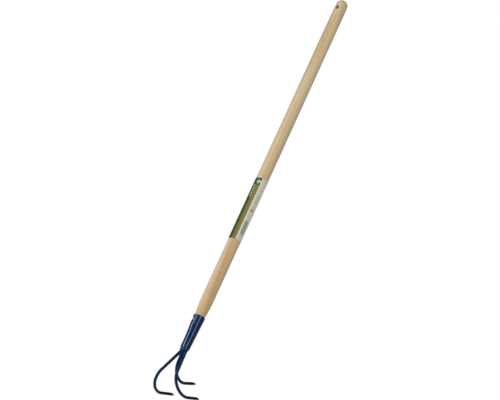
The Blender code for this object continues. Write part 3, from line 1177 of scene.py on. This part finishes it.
def buildTine(name, v, path, seed):
    # extra rings where the point is forged
    end, last = path[-1][0], path[-2][0]
    axis = (end - last).normalized()
    steps = v["pointSteps"]
    keep = [p for p in path if (end - p[0]).length > v["pointLength"] + 0.0008]
    keep += [(end - axis * v["pointLength"] * (1 - i / steps), 0) for i in range(steps + 1)]
    bm = bmesh.new()
    rings = []
    across = Vector((1, 0, 0))
    travelled = 0
    for i, (centre, bent) in enumerate(keep):
        before = keep[max(i - 1, 0)][0]
        travelled += (centre - before).length
        tangent = (keep[min(i + 1, len(keep) - 1)][0] - before).normalized()
        side = (across - tangent * across.dot(tangent)).normalized()
        outer = side.cross(tangent)
        # 1 on the round rod, falling to 0 at the forged point
        left = (end - centre).length
        share = 1 if left >= v["pointLength"] else (left / v["pointLength"]) ** v["pointPower"]
        drawn = v["drawn"] * held((centre.z - v["drawnTo"]) / (v["drawnFrom"] - v["drawnTo"]))
        radius = v["radius"] + (drawn if centre.z < v["drawnFrom"] + v["drawnLimit"] else 0)
        thick = v["pointThick"] / 2 * (1 - share) + radius * share
        wide = v["pointWide"] / 2 * (1 - share) + radius * share
        middle = centre + outer * (v["radius"] - min(thick, v["radius"])) * 0.5
        ring = []
        for k in range(v["sides"]):
            a = tau * k / v["sides"]
            x, y = cos(a), sin(a)
            rough = v["wander"] * uneven(x * 2, y * 2 + seed, travelled * 160)
            rough += v["hammered"] * (1 - share) * uneven(x * 3, y * 3, travelled * 600 + seed)
            t = thick * (1 - v["flattened"] * bent) + rough
            w = wide * (1 - v["narrowed"] * bent) + rough
            square = 1 + v["squareness"] * (1 - share) * abs(sin(2 * a))
            ring.append(bm.verts.new(middle + side * w * square * x + outer * t * square * y))
        rings.append(ring)
    for first, second in zip(rings, rings[1:]):
        joinRings(bm, first, second)
    # the sawn upper end and a softly closed point
    bm.faces.new(rings[0])
    nose = [bm.verts.new(end + axis * v["nose"] + (vert.co - end) * v["noseWidth"]) for vert in rings[-1]]
    joinRings(bm, rings[-1], nose)
    bm.faces.new(nose)
    return addMesh(name, bm, 50)


tineEnamel = enamelMaterial("tineEnamel", rodPaint)
place = polar(tineValues["offset"], -radians(tineValues["bundleTurn"]), 0)
rightPath = tinePath(tineValues, outerBends, place.x, place.y)
leftPath = [(Vector((-point.x, point.y, point.z)), bent) for point, bent in rightPath]
middlePath = tinePath(tineValues, middleBends, 0, tineValues["offset"])
for name, node, path, seed in (
    ("tineRight", "tine_right", rightPath, 1),
    ("tineLeft", "tine_left", leftPath, 23),
    ("tineMiddle", "tine_middle", middlePath, 41),
):
    tine = buildTine(name, tineValues, path, seed)
    addToTool(tine, tineEnamel, "blue_paint", node)
    print(name, "bent and pointed:", len(tine.data.vertices), "points")


# Weld

weldValues = {
    "z": -0.8842,
    "ringRadius": 0.0075,
    "heavySide": 60,  # degrees from +X: where most metal was laid
    "heavyReach": 0.0004,
    "heavySize": 0.45,
    "heavyDrop": 0.0015,
    "beads": 29,
    "beadRadius": 0.00172,
    "beadShape": (1, 0.86, 1.50, 1),  # outwards, along the bead, up
    "fillers": 60,
    "fillTurn": 2.4,  # radians from one filler to the next
    "fillReach": 0.0070,
    "fillRise": 0.0009,
    "voxel": 0.00026,
    "flow": 26,  # how often the melted surface is smoothed
}


def buildWeld(v):
    # overlapping beads run round the socket's end and between the rods, then melted together
    bm = bmesh.new()
    for k in range(v["beads"]):
        angle = tau * k / v["beads"] + random.uniform(-0.04, 0.04)
        lean = cos(angle - radians(v["heavySide"]))
        reach = v["ringRadius"] + v["heavyReach"] * lean + random.uniform(-0.00018, 0.00010)
        size = v["beadRadius"] * random.uniform(0.93, 1.05) * (1 + v["heavySize"] * max(0, lean))
        z = v["z"] - v["heavyDrop"] * max(0, lean) + random.uniform(-0.0002, 0.0002)
        turned = Matrix.Rotation(angle, 4, "Z") @ Matrix.Diagonal(v["beadShape"])
        place = Matrix.Translation(polar(reach, angle, z)) @ turned
        bmesh.ops.create_icosphere(bm, subdivisions=3, radius=size, matrix=place)
    for k in range(v["fillers"]):
        reach = v["fillReach"] * sqrt(k / v["fillers"])
        size = v["beadRadius"] * random.uniform(0.95, 1.1)
        place = Matrix.Translation(polar(reach, k * v["fillTurn"], v["z"] + v["fillRise"]))
        bmesh.ops.create_icosphere(bm, subdivisions=2, radius=size, matrix=place)
    weld = addMesh("weldBead", bm)
    modify(weld, "REMESH", mode="VOXEL", voxel_size=v["voxel"])
    modify(weld, "SMOOTH", factor=0.5, iterations=v["flow"])
    applyModifiers(weld, 70)
    return weld


weld = buildWeld(weldValues)
addToTool(weld, enamelMaterial("weldEnamel", weldPaint), "blue_paint", "weld")
print("weld laid:", len(weld.data.vertices), "points")


# Studio

studioValues = {
    "floorZ": -2.3,
    "floorSize": 60,
    "floorDark": tone(236),
    "floorLight": tone(238),
    "floorGlow": 0.22,
    "ambient": 0.635,  # what matt surfaces get from all round
    "room": 0.11,  # how bright the room is on the camera's side, for gloss
    "backdrop": (0.65685, -0.66309, 0.35896),  # where the white backdrop stands
    "backdropEdge": (0.88, 0.99),
    "lamps": [
        # name, direction in degrees from +X, distance, width, height, middle z, brightness
        ("leftSoftbox", 69.3, 2.6, 0.78, 3.6, 0.8, 4.3),
        ("rightSoftbox", 161.3, 2.6, 0.52, 3.6, 0.8, 2.8),
        ("backFill", -48, 2.8, 2.4, 3.2, -0.4, 0.7),
    ],
}

# the camera that was fitted to the photograph
cameraValues = {
    "lens": 139.86,
    "sensor": 36,
    "place": (-2.78982, 2.824767, -2.040437),
    "right": (-0.75112, -0.53376, 0.38848),
    "up": (0.066, 0.5248, 0.84866),
    "back": (-0.65685, 0.66309, -0.35896),
}


def buildLamps(v):
    for name, turn, distance, width, tall, z, brightness in v["lamps"]:
        lamp = bpy.data.lights.new(name, "AREA")
        setAll(lamp, shape="RECTANGLE", size=width, size_y=tall, energy=4 * brightness * width * tall)
        obj = addObject(name, lamp)
        obj.location = polar(distance, radians(turn), z)
        aim = -obj.location
        aim.z = 0
        obj.rotation_euler = aim.to_track_quat("-Z", "Y").to_euler()
        obj.visible_camera = False


def reflected(path):
    return highest(path["Is Glossy Ray"], path["Is Transmission Ray"])


def buildWorld(v):
    # white to the camera, even light for matt surfaces, a dark room with a white backdrop for gloss
    world = bpy.data.worlds.new("studio")
    bpy.context.scene.world = world
    world.use_nodes = True
    tree = world.node_tree
    tree.nodes.clear()
    path = addNode(tree, "LightPath").outputs
    facingBackdrop = towards(addNode(tree, "TexCoord").outputs["Generated"], v["backdrop"])
    change = fade(facingBackdrop, *v["backdropEdge"], v["room"] - v["ambient"], 1 - v["ambient"])
    level = plus(v["ambient"], times(reflected(path), change))
    level = highest(level, path["Is Camera Ray"])
    background = addNode(tree, "Background", {"Color": (1, 1, 1, 1), "Strength": level})
    end = tree.nodes.new("ShaderNodeOutputWorld")
    tree.links.new(background.outputs[0], end.inputs["Surface"])


def floorMaterial(v):
    material, tree, shader, place = newMaterial("studioFloor")
    mottle = ramp(noiseOn(place, 1.5, 3), [(0.3, v["floorDark"]), (0.7, v["floorLight"])])
    path = addNode(tree, "LightPath").outputs
    seen = highest(path["Is Camera Ray"], reflected(path))
    setShader(shader, {
        "Base Color": mottle,
        "Roughness": 0.9,
        "Emission Color": (1, 1, 1, 1),
        "Emission Strength": times(seen, v["floorGlow"]),
    })
    return material


def buildFloor(v):
    bm = bmesh.new()
    bmesh.ops.create_grid(bm, x_segments=8, y_segments=8, size=v["floorSize"])
    floor = addMesh("floor", bm)
    floor.location.z = v["floorZ"]
    floor.data.materials.append(floorMaterial(v))


def buildCamera(v):
    camera = bpy.data.cameras.new("photoCamera")
    setAll(camera, sensor_fit="HORIZONTAL", sensor_width=v["sensor"], lens=v["lens"], clip_end=200)
    obj = addObject("photoCamera", camera)
    turn = Matrix((v["right"], v["up"], v["back"])).transposed().to_4x4()
    obj.matrix_world = Matrix.Translation(v["place"]) @ turn
    bpy.context.scene.camera = obj


bpy.context.scene.view_settings.view_transform = "Standard"
buildLamps(studioValues)
buildWorld(studioValues)
buildFloor(studioValues)
buildCamera(cameraValues)
print("studio lit")
